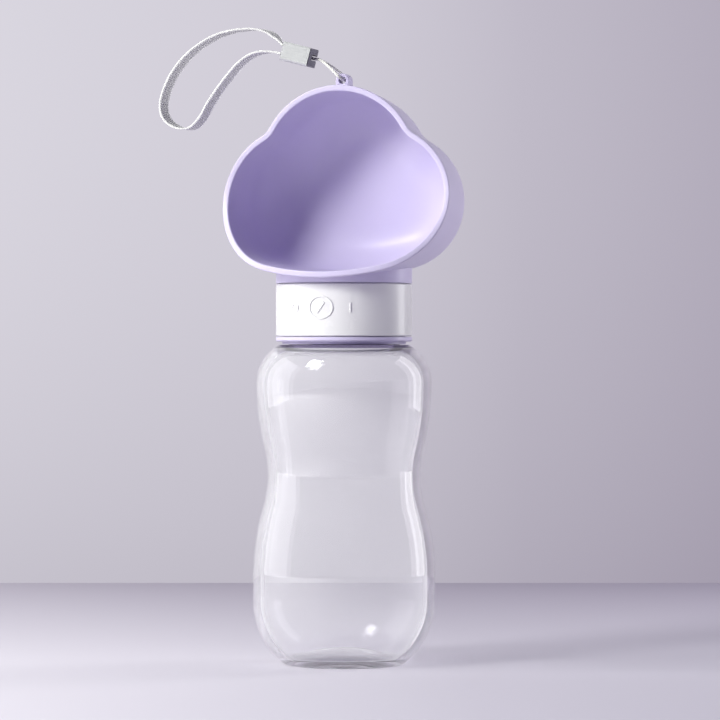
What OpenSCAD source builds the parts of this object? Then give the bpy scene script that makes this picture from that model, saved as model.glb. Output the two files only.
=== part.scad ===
// Dog travel water bottle: a waisted clear bottle, a twist-lock lid and a cloud-shaped drinking cup.
// Millimetres. +Z is up, the origin is the centre of the bottle's base, and the cup opens towards -Y.

/* [Bottle] */
// Radius of the lower bulge
belly_r = 38.3; // [36:0.1:41]
// Height where the bulge starts above the rounded base
belly_low = 26.5; // [22:0.5:30]
// Height where the bulge starts to narrow
belly_high = 36; // [32:0.5:42]
// Radius of the rounding between the bulge and the base
base_arc = 33; // [31:0.5:38]
// Radius of the waist
waist_r = 32.1; // [29:0.1:34]
// Height of the waist
waist_z = 79; // [70:0.5:86]
// Radius of the upper bulge
chest_r = 36.8; // [35.5:0.1:40]
// Height of the upper bulge
chest_z = 118; // [112:0.5:126]
// Radius of the rounding over the shoulder
shoulder_arc = 18.5; // [15:0.5:21]
// Radius of the flat ledge at the top of the shoulder
ledge_r = 27.6; // [26.5:0.1:28.4]
// Wall of the bottle
bottle_wall = 3.2; // [2:0.1:3.8]
// Inner radius of the neck
neck_bore_r = 21.3; // [20:0.1:22]
// Wall of the neck
neck_wall = 2.1; // [1.6:0.1:2.6]
// Height of the neck above the ledge
neck_h = 15.8; // [14:0.1:19]
// Inner radius of the foot ring
foot_inner_r = 20.5; // [17:0.5:22]
// Rise of the dished base inside the foot ring
punt_h = 3.5; // [2:0.1:6]

/* [Lid] */
// Radius of the lid, the collar and the cup's neck
lid_r = 28.6; // [28:0.1:30]
// Gap between the bottle's ledge and the lid
ledge_gap = 1.4; // [0.8:0.1:2]
// Thickness of the lid's bottom flange
flange_t = 1.9; // [1.4:0.1:3]
// Gap that the two threads fill between the neck and the lid's skirt
thread_gap = 1.2; // [0.9:0.1:1.4]
// Wall of the skirt
skirt_wall = 1.4; // [1:0.1:1.5]
// Thickness of the deck that closes the lid
deck_t = 2; // [1.6:0.1:3]
// Thickness of the gasket on the bottle's rim
gasket_t = 1.2; // [0.8:0.1:2]

/* [Valve] */
// Distance of the water port from the axis
port_out = 17; // [15.5:0.1:17.5]
// Radius of the water port
port_r = 2.5; // [1.8:0.1:2.8]
// Radius of the outlet in the cup's floor
outlet_r = 1.4; // [1:0.1:1.7]
// Thickness of the silicone disc on the deck
seat_t = 1.2; // [0.8:0.1:2]
// Thickness of the rotor
rotor_t = 3.2; // [2.6:0.1:4.5]
// Radius of the rotor
rotor_r = 24.2; // [23.6:0.1:24.8]
// Turn from the middle position to open or to shut
valve_turn = 25; // [20:1:30]
// Cross-section of the ring that seals the port
seal_cord = 1.6; // [1.2:0.1:1.8]
// Thickness of the plate over the rotor
cap_t = 2.6; // [2.3:0.1:3.4]
// Radius of the post that the rotor turns on
post_r = 4; // [3.6:0.1:5]
// Radius of the stop pin
stop_r = 1.5; // [1.2:0.1:2]
// Distance of the stop pin from the axis
stop_out = 12; // [10.5:0.1:13]
// Number of drive keys in the collar
key_count = 3; // [2:1:5]
// Width of a drive key
key_w = 4.6; // [3:0.1:6]
// Depth of a drive key in the rotor
key_depth = 2; // [1.4:0.1:2.4]
// Wall of the collar
collar_wall = 2.2; // [1.6:0.1:2.4]
// Radius of the screw's thread
screw_r = 1.45; // [1.2:0.05:1.5]
// Radius of the screw's head
screw_head_r = 2.9; // [2.4:0.1:3.4]
// Depth of the screw in the cup
screw_bite = 2.6; // [2:0.1:3.2]

/* [Cup] */
// Radius of the cloud's top lobe
top_r = 34; // [31:0.5:36]
// Height of the top lobe's centre above the side lobes' centres
top_rise = 13.9; // [11:0.1:16]
// Radius of the cloud's side lobes
lobe_r = 30.8; // [28:0.1:33]
// Distance of a side lobe's centre from the middle
lobe_x = 18.2; // [17:0.1:21]
// Radius of the notch between two lobes
notch_r = 11.1; // [9:0.1:14]
// Radius of the cloud's long lower curve
lip_r = 109; // [90:1:130]
// Height of the bowl above the bottom of the cup's neck
neck_rise = 1.9; // [1.6:0.1:4]
// Distance of the upper rim in front of the axis
rim_front = 10.4; // [7:0.1:12]
// Height above the bowl's bottom where the rim starts to sweep forward
sweep_h = 54; // [46:0.1:60]
// Distance that the lower lip stands out in front of the upper rim
lip_reach = 26.1; // [22:0.1:28.5]
// Distance of the cup's back behind the axis
cup_back = 33; // [31:0.1:36]
// Width of the rim
rim_w = 2.5; // [2.1:0.1:3]
// Step from the rim's bead down to the outer wall
bead = 0.4; // [0.2:0.05:0.6]
// Length of the bead from front to back
bead_l = 2.4; // [1.6:0.1:3.2]
// Rounding of the rim's edges
rim_edge = 0.6; // [0.3:0.05:0.8]
// Radius of the long curve of the cup's sides from front to back
side_arc = 300; // [240:5:360]
// Outer rounding between the sides and the back
back_fillet = 15; // [11:0.1:17]
// Inner rounding between the sides and the back
bowl_fillet = 20; // [17:0.1:21]
// Thickness of the cup's back
back_wall = 2.5; // [2:0.1:3.2]

/* [Lanyard] */
// Outer radius of the lug
lug_r = 2.9; // [2.6:0.1:3.4]
// Radius of the lug's hole
lug_hole_r = 1.5; // [1.2:0.1:1.7]
// Length of the lug from front to back
lug_l = 6.6; // [5:0.1:8]
// Height of the lug's hole above the top of the cup
lug_rise = 2.4; // [1.8:0.1:3]
// Diameter of the string
string_d = 1.3; // [1:0.05:1.5]
// Length of the clasp's sleeve
sleeve_l = 11.6; // [10:0.1:14]
// Depth of the clasp
clasp_w = 8.4; // [8:0.1:9.5]
// Height of the clasp
clasp_h = 7.7; // [7.2:0.1:8.5]
// Wall of the clasp's sleeve
sleeve_wall = 1; // [0.8:0.1:1.3]
// Length of the insert that shows outside the sleeve
insert_out = 3.4; // [2.8:0.1:5]
// Width of the strap
strap_w = 6; // [4:0.1:6.2]
// Thickness of the strap
strap_t = 0.8; // [0.6:0.05:1.1]

/* [Hidden] */
$fn = 72;

LAVENDER = [0.73, 0.68, 0.90];
WHITE = [0.93, 0.93, 0.95];
SILICONE = [0.86, 0.86, 0.88, 0.9];
CLEAR = [0.9, 0.92, 0.96, 0.3];

// Clearances: between seals, where one part turns on another, at a parting line (also under the skirt),
// and in a loose hole
seal_gap = 0.05;
turn_gap = 0.1;
parting = 0.3;
loose = 0.15;

// The heights stack up from the bottle's ledge
ledge_z = chest_z + sqrt(pow(shoulder_arc, 2) - pow(ledge_r - (chest_r - shoulder_arc), 2));
neck_r = neck_bore_r + neck_wall;
neck_top = ledge_z + neck_h;
flange_z = ledge_z + ledge_gap;
collar_z = flange_z + flange_t + parting;
deck_z = neck_top + seal_gap + gasket_t + seal_gap;
deck_top = deck_z + deck_t;
rotor_z = deck_top + seat_t + seal_gap;
rotor_top = rotor_z + rotor_t;
cap_gap = 0.4;
cap_z = rotor_top + cap_gap;
cap_lap = 0.75;
cap_top = cap_z + cap_t;
cup_z = cap_top - cap_lap;
collar_top = cup_z - parting;
bowl_z = cup_z + neck_rise;

// Radii of the lid's round pieces
skirt_in = neck_r + thread_gap;
skirt_r = skirt_in + skirt_wall;
collar_in = lid_r - collar_wall;
edge = 0.5;
post_bore = post_r + turn_gap;
cap_r = skirt_r - parting;
groove_r = seal_cord * 0.62;
seal_ring_r = port_r + groove_r + 0.7;
rotor_port = 90 + valve_turn;

// Centres of the arcs in the cloud outline, as [x, z]
lip_c = [0, bowl_z + lip_r];
lobe_c = [lobe_x, lip_c[1] - sqrt(pow(lip_r - lobe_r, 2) - pow(lobe_x, 2))];
top_c = [0, lobe_c[1] + top_rise];
notch_c = circles_meet(top_c, top_r + notch_r, lobe_c, lobe_r + notch_r);
cup_top = top_c[1] + top_r;
lug_z = cup_top + lug_rise;
lug_y = 0.5;

// The clasp's own frame: x along it towards the string, y across it, z through its height
clasp_at = [-20.2, -4, 256.3];
clasp_turn = [0, 14, 15.5];

// The string's route, from one end in the clasp through the lug and back
STRING_ROUTE = [[-13.2, -2.9, 254.5], [-11.6, -2.5, 254.1], [-10.4, -2.6, 253.9], [-9, -3, 253.3],
    [-7.4, -3.6, 252.3], [-5.4, -4.4, 250.7], [-3.4, -5.1, 248.9], [-1.8, -5.5, 247.3],
    [-0.9, -5.2, 246.3], [-0.2, -4.2, 245.6], [0, -2.8, 245.3], [0, 0.5, 245.3], [0, 3.8, 245.3],
    [-0.2, 5.2, 245.6], [-0.9, 6.2, 246.3], [-1.8, 6.5, 247.3], [-3.4, 5.7, 248.8], [-5.6, 4.1, 250.6],
    [-7.8, 2.4, 252.2], [-9.7, 0.7, 253.4], [-11, -0.4, 254], [-12.2, -1.1, 254.2], [-13.6, -1.4, 254.5]];

// The strap's route in the clasp's frame, as [x, z], from the upper slot round to the lower slot
STRAP_ROUTE = [[-6.1, 2.3], [-7.2, 3.4], [-9, 4.8], [-13, 6.1], [-17.7, 6.1], [-22.8, 4.8],
    [-27.9, 2.7], [-32.9, -0.3], [-37.6, -4.5], [-41.8, -9.6], [-44.9, -14.9], [-47.2, -20.7],
    [-48.4, -26.5], [-48.7, -32.1], [-47.7, -36.6], [-45.4, -39.7], [-42.1, -41.4], [-38.4, -41.8],
    [-35, -40.9], [-32.6, -38.5], [-30.8, -34.4], [-29.3, -28.6], [-26.8, -21.6], [-23.9, -14.9],
    [-20.9, -9.3], [-17.6, -5.4], [-14.2, -3], [-10.7, -1.8], [-8, -1.4], [-6.1, -1.4]];

// The strap's width runs along y in its slots, and turns by this share of x and z away from them
strap_lean = [0.55, 0.82, 0.14];
strap_turn_in = 4;

// ---- Shape helpers ----

// Points on an arc about c, as many as steps + 1
function arc(c, r, from, to, steps) =
    [for (i = [0:steps]) let (a = from + (to - from) * i / steps) c + r * [cos(a), sin(a)]];

// The point on the +X side where two circles meet
function circles_meet(c1, r1, c2, r2) =
    let (d = norm(c2 - c1),
         along = (d * d + r1 * r1 - r2 * r2) / (2 * d),
         up = sqrt(r1 * r1 - along * along),
         u = (c2 - c1) / d)
    c1 + along * u + up * [-u[1], u[0]];

function angle_to(from, to) = atan2(to[1] - from[1], to[0] - from[0]);
function middle(points) = [for (i = [0:len(points) - 2]) points[i]];
function reversed(points) = [for (i = [len(points) - 1:-1:0]) points[i]];

// The same curve with extra points, so that a few chosen ones give a smooth cord
function smooth(p, steps) = let (n = len(p) - 1) [
    for (i = [0:n - 1]) let (a = p[max(i - 1, 0)], b = p[i], c = p[i + 1], d = p[min(i + 2, n)])
        for (k = [0:steps - 1]) let (t = k / steps)
            b + 0.5 * t * (c - a) + t * t * (a - 2.5 * b + 2 * c - 0.5 * d)
              + t * t * t * (-0.5 * a + 1.5 * b - 1.5 * c + 0.5 * d),
    p[n]];

// A closed skin over a list of rings that all have the same number of points
module loft(rings) {
    n = len(rings[0]);
    last = len(rings) - 1;
    points = [for (ring = rings) for (p = ring) p];
    sides = [for (i = [0:last - 1]) for (j = [0:n - 1]) let (k = (j + 1) % n)
        for (face = [[i * n + k, i * n + j, (i + 1) * n + k], [(i + 1) * n + k, i * n + j, (i + 1) * n + j]])
            face];
    first_cap = [for (j = [0:n - 1]) j];
    last_cap = [for (j = [n - 1:-1:0]) last * n + j];
    polyhedron(points, concat([first_cap], sides, [last_cap]), convexity = 8);
}

function unit(v) = v / norm(v);

// Rings of a cord: section [across, through] swept along a route, with sides as its first directions
function swept(route, section, sides) = [for (i = [0:len(route) - 1])
    let (t = unit(route[min(i + 1, len(route) - 1)] - route[max(i - 1, 0)]),
         a = unit(sides[i] - (sides[i] * t) * t),
         b = cross(t, a))
    [for (q = section) route[i] + q[0] * a + q[1] * b]];

// ---- Bottle ----

// An S curve between a bulge and the waist: two arcs that meet, the bulge's with a share of the height
bulge_share = 0.72;
function s_radius(r1, z1, r2, z2) = (pow(z2 - z1, 2) + pow(r1 - r2, 2)) / (2 * (r1 - r2));

// Half outline of the bottle from the base up to the ledge, moved inwards by t
function body_outline(t) =
    let (low = s_radius(belly_r, belly_high, waist_r, waist_z),
         high = s_radius(chest_r, chest_z, waist_r, waist_z),
         low_turn = asin((waist_z - belly_high) / low),
         high_turn = asin((chest_z - waist_z) / high),
         bulge_low = low * bulge_share,
         bulge_high = high * bulge_share,
         base_turn = asin((belly_low - t) / (base_arc - t)),
         ledge_turn = asin((ledge_z - t - chest_z) / (shoulder_arc - t)))
    concat(
        arc([belly_r - base_arc, belly_low], base_arc - t, -base_turn, 0, 12),
        middle(arc([belly_r - bulge_low, belly_high], bulge_low - t, 0, low_turn, 8)),
        arc([waist_r + low - bulge_low, waist_z], low - bulge_low + t, 180 + low_turn, 180, 6),
        middle(arc([waist_r + high - bulge_high, waist_z], high - bulge_high + t, 180, 180 - high_turn, 6)),
        arc([chest_r - bulge_high, chest_z], bulge_high - t, -high_turn, 0, 8),
        arc([chest_r - shoulder_arc, chest_z], shoulder_arc - t, 3, ledge_turn, 9));

// The dished base between the axis and the foot ring, moved up by t
function punt(t) = let (r = (pow(foot_inner_r, 2) + pow(punt_h, 2)) / (2 * punt_h))
    arc([0, punt_h - r + t], r, 90, 90 - asin(foot_inner_r / r), 8);

module bottle() {
    rim = 0.5;
    color(CLEAR) rotate_extrude($fn = 96)
        polygon(concat(
            punt(0),
            body_outline(0),
            [[neck_r, ledge_z], [neck_r, neck_top - rim], [neck_r - rim, neck_top],
             [neck_bore_r + rim, neck_top], [neck_bore_r, neck_top - rim],
             [neck_bore_r, ledge_z - bottle_wall]],
            reversed(body_outline(bottle_wall)),
            reversed(punt(bottle_wall))));
}

// ---- Lid ----

// A flat ring with a rectangular section
module ring(r_in, r_out, z, h) {
    translate([0, 0, z]) rotate_extrude() translate([r_in, 0]) square([r_out - r_in, h]);
}

// The silicone ring that the lid presses on the bottle's rim
module neck_gasket() {
    color(SILICONE) ring(neck_bore_r + loose, skirt_in - loose, neck_top + seal_gap, gasket_t);
}

// Flange, threaded skirt and deck in one moulding
module lid_base() {
    fillet = 0.8;
    color(LAVENDER) difference() {
        rotate_extrude() polygon([
            [skirt_in, ledge_z + parting], [skirt_r, ledge_z + parting], [skirt_r, flange_z],
            [lid_r - edge, flange_z], [lid_r, flange_z + edge],
            [lid_r, flange_z + flange_t], [skirt_r, flange_z + flange_t],
            [skirt_r, deck_top - fillet], [skirt_r - fillet, deck_top], [0, deck_top],
            [0, deck_z], [skirt_in, deck_z]]);
        translate([0, port_out, deck_z - 1]) cylinder(r = port_r, h = deck_t + 2, $fn = 32);
        translate([0, 0, deck_z - 1]) cylinder(r = screw_r + loose, h = deck_t + 2, $fn = 32);
    }
}

// The silicone disc that the rotor wipes over
module seat_gasket() {
    color(SILICONE) difference() {
        ring(post_bore + loose, rotor_r - 0.7, deck_top, seat_t);
        translate([0, port_out, deck_top - 1]) cylinder(r = port_r, h = seat_t + 2, $fn = 32);
    }
}

// The white collar, with its keys that reach into the rotor
module lock_collar() {
    rib_in = rotor_r + parting;
    color(WHITE) {
        rotate_extrude($fn = 96) polygon([
            [collar_in, collar_z], [lid_r - edge, collar_z], [lid_r, collar_z + edge],
            [lid_r, collar_top - edge], [lid_r - edge, collar_top], [collar_in, collar_top],
            [collar_in, rotor_top], [rib_in, rotor_top], [rib_in, rotor_z], [collar_in, rotor_z]]);
        for (i = [0:key_count - 1]) rotate(i * 360 / key_count)
            translate([rotor_r - key_depth, -key_w / 2, rotor_z])
                cube([rib_in - rotor_r + key_depth + 0.2, key_w, rotor_t]);
    }
}

// The turning disc: its port lines up with the deck's port when the collar is turned to open
module valve_rotor() {
    color(WHITE) difference() {
        ring(post_bore, rotor_r, rotor_z, rotor_t);
        rotate(rotor_port) translate([port_out, 0, rotor_z - 1])
            cylinder(r = port_r, h = rotor_t + 2, $fn = 32);
        for (i = [0:key_count - 1]) rotate(i * 360 / key_count)
            translate([rotor_r - key_depth - turn_gap, -key_w / 2 - turn_gap, rotor_z - 1])
                cube([key_depth + 3, key_w + 2 * turn_gap, rotor_t + 2]);
        stop_slot();
    }
}

// The curved slot that the stop pin ends at either limit of the turn
module stop_slot() {
    r = stop_r + turn_gap;
    extra = 1;
    translate([0, 0, rotor_z - 1]) {
        for (side = [-1, 1]) rotate(-90 + side * (valve_turn + extra))
            translate([stop_out, 0, 0]) cylinder(r = r, h = rotor_t + 2, $fn = 32);
        rotate(-90 - valve_turn - extra) rotate_extrude(angle = 2 * (valve_turn + extra))
            translate([stop_out - r, 0]) square([2 * r, rotor_t + 2]);
    }
}

// The ring that seals the rotor's top round the port
module port_seal() {
    color(SILICONE) translate([0, port_out, rotor_top + seal_gap + seal_cord / 2])
        rotate_extrude($fn = 36) translate([seal_ring_r, 0]) circle(d = seal_cord, $fn = 20);
}

// The plate over the rotor, with the post it turns on and the pin that stops it
module valve_cap() {
    color(LAVENDER) difference() {
        union() {
            translate([0, 0, cap_z]) cylinder(r = cap_r, h = cap_t);
            translate([0, 0, deck_top]) cylinder(r = post_r, h = cap_z - deck_top + 1);
            translate([0, -stop_out, rotor_z + 0.6]) cylinder(r = stop_r, h = cap_z - rotor_z, $fn = 32);
        }
        translate([0, 0, deck_top - 1]) cylinder(r = screw_r + loose, h = cap_top - deck_top + 2, $fn = 32);
        translate([0, port_out, cap_z - 1]) cylinder(r = port_r, h = cap_t + 2, $fn = 32);
        translate([0, port_out, 0])
            ring(seal_ring_r - groove_r, seal_ring_r + groove_r, cap_z - 1, 1 + seal_cord + 2 * seal_gap - cap_gap);
    }
}

// The screw that clamps the deck, the plate and the cup together
module centre_screw() {
    head_h = 1.7;
    slot = 0.6;
    color("silver") difference() {
        union() {
            translate([0, 0, deck_z - head_h]) rotate_extrude($fn = 36) polygon([
                [0, 0], [screw_head_r - 0.8, 0], [screw_head_r, 0.8], [screw_head_r, head_h], [0, head_h]]);
            translate([0, 0, deck_z - 0.5]) cylinder(r = screw_r, h = cap_top + screw_bite + 0.5 - deck_z, $fn = 32);
        }
        for (turn = [0, 90]) rotate(turn) translate([-1.6, -slot / 2, deck_z - head_h - 1])
            cube([3.2, slot, 2]);
    }
}

// ---- Cup ----

// A stretch of the outline: each point carries its outward direction, which is -out on a hollow arc
function stretch(c, r, from, to, steps, out) = [for (i = [0:steps - 1])
    let (a = from + (to - from) * i / steps, d = [cos(a), sin(a)]) [c + r * d, out * d]];

// The cloud outline, anticlockwise from the right notch, as [point, outward direction]
CLOUD = let (top = angle_to(top_c, notch_c), side = angle_to(lobe_c, notch_c),
             low = angle_to(lip_c, lobe_c),
             left_lobe = [-lobe_c[0], lobe_c[1]], left_notch = [-notch_c[0], notch_c[1]])
    concat(
        stretch(top_c, top_r, top, 180 - top, 18, 1),
        stretch(left_notch, notch_r, -top, -side, 4, -1),
        stretch(left_lobe, lobe_r, 180 - side, 180 - low, 18, 1),
        stretch(lip_c, lip_r, 180 - low, 360 + low, 12, 1),
        stretch(lobe_c, lobe_r, low, side, 18, 1),
        stretch(notch_c, notch_r, 180 + side, 180 + top, 4, -1));

// The rim's place along Y at each outline point: level above, and sweeping forward to the lower lip
sweep_r = (pow(sweep_h, 2) + pow(lip_reach, 2)) / (2 * lip_reach);
FRONT = [for (p = CLOUD) let (drop = max(0, bowl_z + sweep_h - p[0][1]))
    -rim_front - (sweep_r - sqrt(pow(sweep_r, 2) - pow(drop, 2)))];

function cup_point(j, y, in) = let (p = CLOUD[j][0] - in * CLOUD[j][1]) [p[0], y, p[1]];

// How far a side has drawn in at y, for a side curve of radius r
function draw_in(r, y) = y < -rim_front ? 0 : r - sqrt(r * r - pow(y + rim_front, 2));

// Rings of one skin of the cup from the flat of its back to its side: base is its inset at the rim
BACK_STEPS = 6;
SIDE_STEPS = 6;
function back_rings(base, r, fillet, back) =
    let (c = back - fillet, a = asin((c + rim_front) / (r - fillet)), in_c = base + r - (r - fillet) * cos(a))
    [for (i = [0:BACK_STEPS]) let (f = 90 - (90 - a) * i / BACK_STEPS)
        [for (j = [0:len(CLOUD) - 1]) cup_point(j, c + fillet * sin(f), in_c - fillet * cos(f))]];

function side_start(r, fillet, back) =
    let (c = back - fillet) c + fillet * (c + rim_front) / (r - fillet);

function side_rings(base, r, fillet, back, ends) = let (y0 = side_start(r, fillet, back))
    [for (i = [1:SIDE_STEPS]) [for (j = [0:len(CLOUD) - 1])
        let (y = y0 + (ends[j] - y0) * i / SIDE_STEPS) cup_point(j, y, base + draw_in(r, y))]];

// The rim's section, as [distance behind the front, inset], from the bead's back to the inner edge
RIM = [[bead_l * 0.8, bead * 0.3], [bead_l * 0.5, 0], [rim_edge, 0], [rim_edge * 0.3, rim_edge * 0.3],
    [0, rim_edge], [0, rim_w - rim_edge], [rim_edge * 0.3, rim_w - rim_edge * 0.3]];

function behind_front(step) = [for (y = FRONT) y + step];

// Rings from the back to the side of a skin that lies at a share of the wall, 0 outside and 1 inside
function skin_rings(share, ends) =
    let (base = bead + share * (rim_w - bead),
         r = side_arc - share * (rim_w - bead),
         fillet = back_fillet + share * (bowl_fillet - back_fillet),
         back = cup_back - share * back_wall)
    concat(back_rings(base, r, fillet, back), side_rings(base, r, fillet, back, ends));

module cup_shell() {
    loft(concat(
        skin_rings(0, behind_front(bead_l)),
        [for (q = RIM) [for (j = [0:len(CLOUD) - 1]) cup_point(j, FRONT[j] + q[0], q[1])]],
        reversed(skin_rings(1, behind_front(rim_edge)))));
}

// What is cut out of the neck, so that it ends inside the bowl's wall
module bowl_hollow() {
    loft(skin_rings(0.5, [for (p = CLOUD) -lid_r - 1]));
}

// The arched loop on top of the cup
module lug() {
    root = 1.6;
    translate([0, lug_y + lug_l / 2, 0]) rotate([90, 0, 0]) difference() {
        union() {
            translate([0, lug_z, 0]) cylinder(r = lug_r, h = lug_l, $fn = 40);
            translate([-lug_r, cup_top - root, 0]) cube([2 * lug_r, lug_rise + root, lug_l]);
        }
        translate([0, lug_z, -1]) cylinder(r = lug_hole_r, h = lug_l + 2, $fn = 32);
    }
}

module cup() {
    neck_up = 9;
    color(LAVENDER) difference() {
        union() {
            cup_shell();
            difference() {
                translate([0, 0, cup_z]) cylinder(r = lid_r, h = neck_rise + neck_up, $fn = 96);
                bowl_hollow();
            }
            lug();
        }
        translate([0, 0, cup_z - 1]) cylinder(r = cap_r + loose, h = cap_lap + 1);
        translate([0, 0, cup_z]) cylinder(r = screw_r + seal_gap, h = cap_lap + screw_bite + seal_gap, $fn = 32);
        translate([0, port_out, cup_z]) cylinder(r = outlet_r, h = neck_rise + neck_up, $fn = 24);
    }
}

// ---- Lanyard ----

module in_clasp_frame() {
    translate(clasp_at) rotate(clasp_turn) children();
}

module lanyard_string() {
    sides = 8;
    section = [for (i = [0:sides - 1]) string_d / 2 * [cos(360 * i / sides), sin(360 * i / sides)]];
    route = smooth(STRING_ROUTE, 3);
    color(WHITE) loft(swept(route, section, [for (p = route) [0.3, 0.2, 0.9]]));
}

// The dark block that holds the string, with a slot across its end where the string leaves it
module clasp_insert() {
    notch_h = 2.4;
    notch_l = 2.1;
    tail = 8;
    fit = 0.1;
    h = clasp_h - 2 * sleeve_wall - 2 * fit;
    w = clasp_w - 2 * sleeve_wall - 2 * fit;
    front = sleeve_l / 2 + insert_out;
    color([0.4, 0.39, 0.43]) in_clasp_frame() difference() {
        union() {
            translate([sleeve_l / 2 + fit, -clasp_w / 2 + 0.2, -clasp_h / 2 + 0.2])
                cube([insert_out - fit, clasp_w - 0.4, clasp_h - 0.4]);
            translate([sleeve_l / 2 - tail, -w / 2, -h / 2]) cube([tail + 1, w, h]);
        }
        translate([front - notch_l, -clasp_w, -notch_h / 2])
            cube([notch_l + 1, 2 * clasp_w, notch_h]);
    }
}

// The light sleeve over the insert and the strap's two ends
module clasp_sleeve() {
    round_r = 0.8;
    floor_t = 1;
    color(WHITE) in_clasp_frame() translate([-sleeve_l / 2, 0, 0]) rotate([90, 0, 90])
        difference() {
            linear_extrude(sleeve_l) rounded(clasp_w, clasp_h, round_r);
            translate([0, 0, floor_t]) linear_extrude(sleeve_l)
                square([clasp_w - 2 * sleeve_wall, clasp_h - 2 * sleeve_wall], center = true);
        }
}

// A rectangle about the origin with round corners
module rounded(w, h, r) {
    square([w - 2 * r, h], center = true);
    square([w, h - 2 * r], center = true);
    for (x = [-1, 1], y = [-1, 1]) translate([x * (w / 2 - r), y * (h / 2 - r)]) circle(r, $fn = 24);
}

module wrist_strap() {
    route = [for (p = smooth(STRAP_ROUTE, 2)) [p[0], 0, p[1]]];
    slot_x = STRAP_ROUTE[0][0];
    sides = [for (p = route) let (out = min(1, (slot_x - p[0]) / strap_turn_in))
        [strap_lean[0] * out, strap_lean[1], strap_lean[2] * out]];
    c = strap_t * 0.3;
    x = strap_w / 2;
    y = strap_t / 2;
    section = [[x, -y + c], [x, y - c], [x - c, y], [c - x, y], [-x, y - c], [-x, c - y], [c - x, -y], [x - c, -y]];
    color([0.86, 0.86, 0.88]) in_clasp_frame() loft(swept(route, section, sides));
}

bottle();
neck_gasket();
lid_base();
seat_gasket();
lock_collar();
valve_rotor();
port_seal();
valve_cap();
centre_screw();
cup();
lanyard_string();
clasp_insert();
clasp_sleeve();
wrist_strap();
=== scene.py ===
# %% [markdown]
# # A dog's travel water bottle
# This notebook dresses a ready-made frame of solids. The frame already holds every piece at its real
# size and place, in metres, so nothing is fitted by eye. Each step says what a piece is on the real
# bottle, how it could be made, and why this way was chosen.

# %% Load the frame
import math

import bmesh
import bpy
from mathutils import Matrix, Vector


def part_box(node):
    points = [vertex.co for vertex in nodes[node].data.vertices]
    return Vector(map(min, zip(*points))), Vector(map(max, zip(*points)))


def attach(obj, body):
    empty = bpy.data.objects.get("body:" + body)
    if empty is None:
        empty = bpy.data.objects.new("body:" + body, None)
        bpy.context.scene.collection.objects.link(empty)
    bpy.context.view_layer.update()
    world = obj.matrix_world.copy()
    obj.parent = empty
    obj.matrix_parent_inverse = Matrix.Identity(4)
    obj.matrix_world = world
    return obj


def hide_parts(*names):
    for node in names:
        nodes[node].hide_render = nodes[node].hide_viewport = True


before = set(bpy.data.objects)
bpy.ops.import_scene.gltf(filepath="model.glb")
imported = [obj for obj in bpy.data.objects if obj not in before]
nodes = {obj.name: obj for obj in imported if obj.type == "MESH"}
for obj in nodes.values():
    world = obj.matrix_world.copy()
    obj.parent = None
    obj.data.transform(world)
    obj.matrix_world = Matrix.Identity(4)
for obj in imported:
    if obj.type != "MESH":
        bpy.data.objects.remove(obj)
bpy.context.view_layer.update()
MM = 0.001
print("nodes:", sorted(nodes))

# %% [markdown]
# ## Camera
# A product picture is best taken from far away with a long lens, so that upright lines stay upright.
# The camera stands level with the top of the bottle, and a little to the right of the cup's face.

# %% The camera
VIEW_TURN = math.radians(15.5)
LENS = 180
SENSOR = 36
DISTANCE = 1.512
EYE_HEIGHT = 0.1327
SIDE_STEP = 0.0067
LOOK_DOWN = math.radians(0.19)

right = Vector((math.cos(VIEW_TURN), math.sin(VIEW_TURN), 0))
away = Vector((-math.sin(VIEW_TURN), math.cos(VIEW_TURN), 0))
up = Vector((0, 0, 1))

lens = bpy.data.cameras.new("camera")
lens.lens = LENS
lens.sensor_width = SENSOR
lens.clip_end = 20
camera = bpy.data.objects.new("camera", lens)
camera.location = right * SIDE_STEP - away * DISTANCE + up * EYE_HEIGHT
camera.rotation_euler = (math.radians(90) - LOOK_DOWN, 0, VIEW_TURN)
bpy.context.scene.collection.objects.link(camera)
bpy.context.scene.camera = camera
bpy.context.scene.view_settings.view_transform = "Standard"
print("camera", [round(c, 3) for c in camera.location])

# %% [markdown]
# ## Small helpers
# Every piece below is built in a bmesh and then handed over as a finished object. One helper does the
# handing over: it names the object, smooths it, and says which body it rides on and which solids of the
# frame it stands for.


# %% Hand over a piece
def hand_over(bm, name, body, replaces=(), sharp=40):
    mesh = bpy.data.meshes.new(name)
    bm.to_mesh(mesh)
    bm.free()
    mesh.shade_smooth()
    mesh.set_sharp_from_angle(angle=math.radians(sharp))
    piece = bpy.data.objects.new(name, mesh)
    bpy.context.scene.collection.objects.link(piece)
    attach(piece, body)
    if replaces:
        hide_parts(*replaces)
    print(name, len(mesh.vertices), "points")
    return piece


# %% Curves through a few points
def smooth_route(points, steps):
    """More points on one smooth curve through the given ones (Catmull-Rom)."""
    out = []
    last = len(points) - 1
    for i in range(last):
        a, b = points[max(i - 1, 0)], points[i]
        c, d = points[i + 1], points[min(i + 2, last)]
        for k in range(steps):
            t = k / steps
            out.append(b + 0.5 * t * (c - a) + t * t * (a - 2.5 * b + 2 * c - 0.5 * d)
                       + t * t * t * (-0.5 * a + 1.5 * b - 1.5 * c + 0.5 * d))
    out.append(points[last])
    return out


def route_length(points):
    return sum((b - a).length for a, b in zip(points, points[1:]))


# %% [markdown]
# ## Sweeping a cord
# A cord is a cross-section carried along a route. A curve object with a bevel could do it, but the
# strap's weave needs to know how far along and how far across each point lies. So the section is
# carried by hand, ring after ring, and both distances go into the UV map.


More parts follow.
